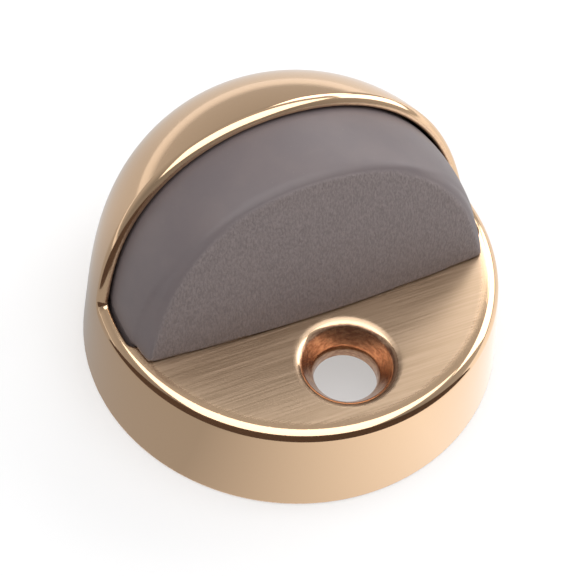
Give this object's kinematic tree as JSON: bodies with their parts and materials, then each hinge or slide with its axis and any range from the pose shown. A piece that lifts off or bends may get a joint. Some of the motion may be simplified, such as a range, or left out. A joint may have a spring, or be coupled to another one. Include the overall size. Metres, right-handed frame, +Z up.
{
  "type": "floor door stop",
  "caption": "Round dome floor stop: hollow brass half dome with a countersunk screw ledge and a crowned rubber bumper that stops a door.",
  "frame": {"origin": "centre of the base circle, on the floor", "axes": "+Z up, along the screw hole; -Y the side that the bumper's face and the ledge are on, towards the door; +X to the right when seen from the door; symmetric about X = 0"},
  "size_m": [0.0476, 0.0476, 0.0317],
  "materials": {
    "polished_brass": "polished, with a satin ledge and an as-cast underside",
    "grey_rubber": "matte, finely grained front face",
    "insert_brass": "machined",
    "zinc_steel": "zinc plated"
  },
  "bodies": {
    "root": {"dome_body": "polished_brass", "rubber_bumper": "grey_rubber", "bumper_insert": "insert_brass", "bumper_screw": "zinc_steel", "bumper_washer": "zinc_steel"}
  },
  "joints": []
}
